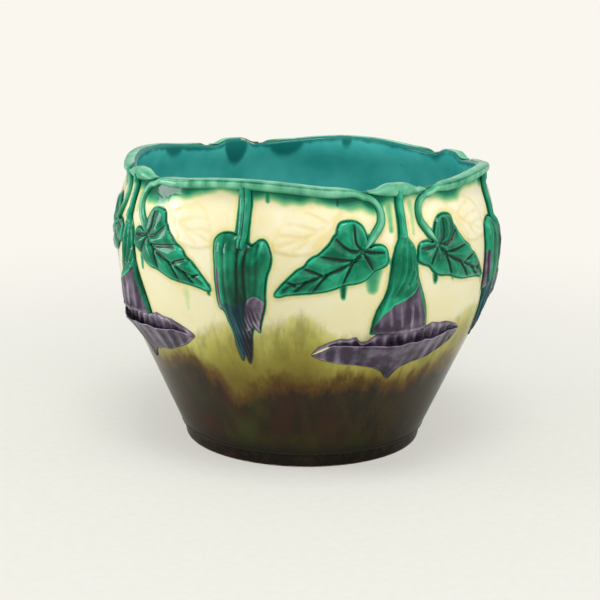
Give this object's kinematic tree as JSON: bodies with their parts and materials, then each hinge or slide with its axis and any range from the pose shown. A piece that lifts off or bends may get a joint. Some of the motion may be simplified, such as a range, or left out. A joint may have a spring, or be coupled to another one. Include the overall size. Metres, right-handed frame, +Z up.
{
  "type": "jardiniere",
  "caption": "Round bulbous glazed pot for plants with a wavy vine rim, moulded leaves, drooping trumpet blossoms and buds in relief, and a small foot.",
  "frame": {"origin": "centre of the foot ring on the ground", "axes": "+Z up; one blossom faces -Y and the others follow every quarter turn"},
  "size_m": [0.2912, 0.2912, 0.213],
  "materials": {
    "pot_glaze": "cream glaze above, running into olive and dark brown below, turquoise inside; high gloss",
    "foot_glaze": "near black brown glaze, high gloss",
    "green_glaze": "translucent green glaze, dark where it pools and pale on the high edges; high gloss",
    "blossom_glaze": "green glaze running into purple at the mouth; high gloss",
    "purple_glaze": "manganese purple glaze, pale on the high edges; high gloss",
    "bud_glaze": "green glaze over dark purple folds; high gloss"
  },
  "bodies": {
    "root": {"pot_body": "pot_glaze", "foot_ring": "foot_glaze", "rim_vine_1": "green_glaze", "rim_vine_2": "green_glaze", "rim_vine_3": "green_glaze", "rim_vine_4": "green_glaze", "blossom_arch_1": "green_glaze", "blossom_arch_2": "green_glaze", "blossom_arch_3": "green_glaze", "blossom_arch_4": "green_glaze", "blossom_stem_1": "green_glaze", "blossom_stem_2": "green_glaze", "blossom_stem_3": "green_glaze", "blossom_stem_4": "green_glaze", "blossom_tube_1": "blossom_glaze", "blossom_tube_2": "blossom_glaze", "blossom_tube_3": "blossom_glaze", "blossom_tube_4": "blossom_glaze", "blossom_lip_1": "purple_glaze", "blossom_lip_2": "purple_glaze", "blossom_lip_3": "purple_glaze", "blossom_lip_4": "purple_glaze", "leaf_left_1": "green_glaze", "leaf_left_2": "green_glaze", "leaf_left_3": "green_glaze", "leaf_left_4": "green_glaze", "leaf_right_1": "green_glaze", "leaf_right_2": "green_glaze", "leaf_right_3": "green_glaze", "leaf_right_4": "green_glaze", "bud_stem_1": "green_glaze", "bud_stem_2": "green_glaze", "bud_stem_3": "green_glaze", "bud_stem_4": "green_glaze", "bud_1": "bud_glaze", "bud_2": "bud_glaze", "bud_3": "bud_glaze", "bud_4": "bud_glaze"}
  },
  "joints": []
}
